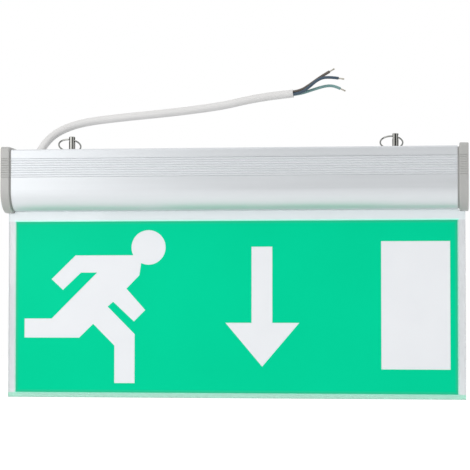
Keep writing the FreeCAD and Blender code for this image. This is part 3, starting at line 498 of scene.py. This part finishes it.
# ---- panel carrier and LED strip ---------------------------------------------------------
# A folded aluminium channel grips the acrylic's tongue with three pins and carries a strip of
# surface-mounted LEDs over its edge.
def lacquered_board(name, low, high, track):
    """Circuit board: lacquer over copper tracks that show as slightly raised, lighter lanes."""
    material, tree = new_tree(name)
    place = add_node(tree, "TexCoord").outputs["Object"]
    lanes = add_node(tree, "TexBrick", {"Vector": place, "Scale": 1 / track, "Mortar Size": 0.03,
                                        "Brick Width": 3.0, "Row Height": 1.0})
    shades = add_node(tree, "Mix", {0: lanes.outputs["Fac"], 6: linear(low), 7: linear(high)},
                      data_type="RGBA")
    relief = add_node(tree, "Bump", {"Height": lanes.outputs["Fac"], "Distance": 0.02 * MM,
                                     "Strength": 1.0})
    return closed(material, tree, add_node(tree, "BsdfPrincipled", {
        "Base Color": shades.outputs[2], "Roughness": 0.3, "Normal": relief.outputs["Normal"]}))


# Mill-finish sheet: bare rolled aluminium with a lengthways grain.
dress(grained_finish("mill_finish_aluminium", ("#C9CBCD", "#DADCDD"), (0.28, 0.4),
                     grain=0.3 * MM, depth=0.006 * MM, stretch=(80, 1, 1),
                     others={"Metallic": 1.0}), "panel_carrier", "heat_plate")
dress(lacquered_board("white_lacquered_board", "#E9EAE6", "#F4F4F0", track=2.5 * MM),
      "led_strip")
# Phosphor: a speckled yellow drop that fills each LED's package.
dress(grained_finish("yellow_phosphor", ("#E8D67C", "#F3E69C"), 0.35, grain=0.15 * MM,
                     depth=0.004 * MM), "led_packages", "signal_leds")


# ---- hanging studs and rings -------------------------------------------------------------
# Turned brass studs with a cross eye, and sprung wire rings that lie back on the housing. Both
# are bright nickel plated over faint turning marks, and mirror the room in hard stripes.
dress(grained_finish("bright_nickel_plate", ("#A1A19C", "#B1B1AD"), (0.08, 0.16),
                     grain=0.35 * MM, depth=0.003 * MM, others={"Metallic": 1.0}),
      "hanging_stud_left", "hanging_stud_right", "hanging_ring_left", "hanging_ring_right")


# ---- circuit board and what it carries ---------------------------------------------------
# The driver board lies in the extrusion's rails: supply terminal, fuse, transformer, smoothing
# capacitors, two controller chips and a transistor on its heat plate.
tape_lap = 1.9635 * MM
wave_bands = np.pi / 10


def wound_tape():
    """Polyester tape wound round the coil in overlapping laps, each lap's edge a small step."""
    material, tree = new_tree("yellow_coil_tape")
    place = add_node(tree, "TexCoord").outputs["Object"]
    laps = add_node(tree, "TexWave", {"Vector": place, "Scale": wave_bands / tape_lap,
                                      "Distortion": 0.4},
                    bands_direction="Z", wave_profile="SAW")
    shades = add_node(tree, "Mix", {0: laps.outputs["Fac"], 6: linear("#CDA92F"),
                                    7: linear("#DDBD47")}, data_type="RGBA")
    relief = add_node(tree, "Bump", {"Height": laps.outputs["Fac"], "Distance": 0.03 * MM,
                                     "Strength": 1.0})
    return closed(material, tree, add_node(tree, "BsdfPrincipled", {
        "Base Color": shades.outputs[2], "Roughness": 0.28, "Normal": relief.outputs["Normal"]}))


dress(lacquered_board("green_lacquered_board", "#175238", "#1F6746", track=3.0 * MM),
      "driver_board", "control_circuit_board")
dress(wound_tape(), "transformer_coil")
# Sintered ferrite: a dark, dry body with fine pores.
dress(grained_finish("sintered_ferrite", ("#26262A", "#37373B"), 0.62, grain=0.3 * MM,
                     depth=0.03 * MM), "transformer_core")
# Fuse glass: clear and smooth, with a faint green cast.
dress(grained_finish("fuse_glass_tube", ("#E2ECE8", "#F0F5F3"), (0.02, 0.08), grain=1.5 * MM,
                     others={"IOR": 1.5, "Transmission Weight": 0.9}), "fuse")
# Stamped brass: yellow metal, dull where the tool has rubbed it.
dress(grained_finish("stamped_clip_brass", ("#B79A58", "#CFB777"), (0.22, 0.4),
                     grain=0.8 * MM, others={"Metallic": 1.0}), "fuse_clips")
# Terminal polyamide: an even mid green with a satin skin.
dress(moulded("green_terminal_plastic", "#2E6B4A", "#377854", roughness=0.42, grain=0.3 * MM,
              depth=0.01 * MM), "terminal_block")
# Dipped film: a thick, glossy amber coat.
dress(moulded("dipped_capacitor_film", "#B98C2C", "#C79B3A", roughness=0.25, grain=0.8 * MM,
              depth=0.006 * MM), "mains_capacitor")
# Capacitor sleeve: dark blue shrink film, tight and glossy over the can.
dress(moulded("sleeved_capacitor_can", "#23283A", "#2C3247", roughness=0.3, grain=0.5 * MM,
              depth=0.006 * MM), "output_capacitors")
# Moulding epoxy: near black and matt, with the tool's fine grain.
dress(moulded("black_moulded_epoxy", "#141414", "#1E1E1E", roughness=0.5, grain=0.2 * MM,
              depth=0.012 * MM), "control_chips", "power_transistor", "test_switch",
      "switch_plunger")
# Nylon: a milky white with a soft sheen.
dress(moulded("white_nylon", "#E6E6E0", "#EEEEE9", roughness=0.45, grain=0.3 * MM,
              depth=0.008 * MM), "plug_sockets", "battery_tray", "led_lead")


# ---- battery -----------------------------------------------------------------------------
# Three cells in line in a green shrink sleeve, which wrinkles a little along its length. A red
# lead in soft glossy PVC runs from it to its plug on the driver board.
dress(moulded("green_shrink_sleeve", "#1F6B43", "#298050", roughness=0.3, grain=0.9 * MM,
              depth=0.02 * MM), "battery_pack")
dress(moulded("red_lead_insulation", "#9C1D18", "#AC2A22", roughness=0.4, grain=0.3 * MM,
              depth=0.006 * MM), "battery_lead")


# ---- test button and indicators ----------------------------------------------------------
# A push button moulded in dark grey plastic sits in its dish on the right cap, between a green
# and a red light pipe of clear polished styrene that is tinted in the mass.
dress(moulded("dark_button_plastic", "#3A3A3C", "#454547", roughness=0.4, grain=0.25 * MM,
              depth=0.01 * MM), "test_button")
for name, shades, lens in (("green_light_pipe", ("#2FB45C", "#49C873"), "charge_lens"),
                           ("red_light_pipe", ("#C22B24", "#D6443C"), "fault_lens")):
    dress(grained_finish(name, shades, (0.06, 0.12), grain=1.2 * MM,
                         others={"IOR": 1.59, "Transmission Weight": 0.5}), lens)


# ---- studio ------------------------------------------------------------------------------
# A white room with a paper floor well below the sign and its strongest soft box to the left.
# Cards are seen only as reflections: the grey one tones down the satin metal, the bright and
# dark ones draw the nickel's stripes and shade the ends.
floor_drop = 0.11
floor_size = 9.0
paper_grey = 0.5
paper_diffuse_glow, paper_white = 0.35, 0.76
room_light, room_white = 0.54, 1.0
sign_middle = (0, 0, -0.08)
sign_top = (0, 0, -0.05)


def seen_directly(tree, diffuse, direct):
    """Strength of a light: one value where it is seen, another where it lights the object.

    It is seen by rays from the camera, mirrored in glossy surfaces and through clear ones.
    """
    path = add_node(tree, "LightPath")
    seen = path.outputs["Is Camera Ray"]
    for name in ("Is Glossy Ray", "Is Transmission Ray"):
        seen = add_node(tree, "Math", {0: seen, 1: path.outputs[name]},
                        operation="MAXIMUM").outputs[0]
    return add_node(tree, "MapRange", {"Value": seen, "From Min": 0.0, "From Max": 1.0,
                                       "To Min": diffuse, "To Max": direct}).outputs["Result"]


def flat_board(name, corners, material):
    """One flat sheet of the studio, through four corners."""
    mesh = bpy.data.meshes.new(name)
    mesh.from_pydata(corners, [], [(0, 1, 2, 3)])
    mesh.materials.append(material)
    board = bpy.data.objects.new(name, mesh)
    bpy.context.scene.collection.objects.link(board)
    return board


def paper_floor():
    """White paper: full white where it is looked at, less the object's shadow."""
    material, tree = new_tree("white_studio_paper")
    shaded = add_node(tree, "BsdfDiffuse", {"Color": (*[paper_grey] * 3, 1)})
    glow = add_node(tree, "Emission", {
        "Color": linear("#FFFFFF"),
        "Strength": seen_directly(tree, paper_diffuse_glow, paper_white)})
    return closed(material, tree, add_node(tree, "AddShader",
                                           {0: shaded.outputs[0], 1: glow.outputs[0]}))


def reflected_card(name, start, end, lower, upper, glow):
    """Upright card from one point (x, y) to another, seen only as a reflection in the sign."""
    material, tree = new_tree(name)
    closed(material, tree, add_node(tree, "Emission", {"Color": linear("#FFFFFF"),
                                                       "Strength": glow}))
    card = flat_board(name, [(*start, lower), (*end, lower), (*end, upper), (*start, upper)],
                      material)
    card.visible_camera = card.visible_diffuse = False
    card.visible_shadow = card.visible_transmission = False


def soft_box(name, place, aim, size, power):
    """Square soft box at a place, turned to a point."""
    lamp = bpy.data.lights.new(name, "AREA")
    lamp.size = size
    lamp.energy = power
    box = bpy.data.objects.new(name, lamp)
    box.location = place
    box.rotation_euler = (Vector(aim) - Vector(place)).to_track_quat("-Z", "Y").to_euler()
    bpy.context.scene.collection.objects.link(box)
    box.visible_glossy = False


half = floor_size / 2
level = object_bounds()[0].z - floor_drop
flat_board("paper_floor", [(-half, -half, level), (half, -half, level), (half, half, level),
                           (-half, half, level)], paper_floor())

# Cards across the front, then one at each end, which runs from front to back.
reflected_card("grey_side", (-1.6, -2.4), (1.6, -2.4), lower=-0.6, upper=1.4, glow=0.37)
reflected_card("bright_side", (-0.6, -0.25), (-0.15, -0.25), lower=-0.1, upper=0.25, glow=2.0)
reflected_card("dark_side", (-0.5, -2.35), (1.2, -2.35), lower=0.02, upper=0.42, glow=0.03)
reflected_card("left_doorway", (-1.5, -0.6), (-1.5, 0.5), lower=-0.4, upper=0.9, glow=0.06)
reflected_card("right_doorway", (1.6, -0.6), (1.6, 0.5), lower=-0.4, upper=0.9, glow=0.06)

soft_box("left_soft_box", (-1.1, -1.5, 0.55), sign_middle, size=0.9, power=13.5)
soft_box("right_soft_box", (1.2, -1.5, -0.25), sign_middle, size=0.9, power=1.5)
soft_box("top_soft_box", (0.3, -0.6, 1.6), sign_top, size=1.2, power=6.5)
soft_box("back_soft_box", (0.5, 1.5, 1.2), sign_middle, size=0.9, power=9.0)

world = bpy.data.worlds.new("white_room")
bpy.context.scene.world = world
world.use_nodes = True
world.node_tree.nodes.clear()
room = add_node(world.node_tree, "Background", {
    "Color": linear("#FFFFFF"),
    "Strength": seen_directly(world.node_tree, room_light, room_white)})
add_node(world.node_tree, "OutputWorld", {"Surface": room.outputs[0]})
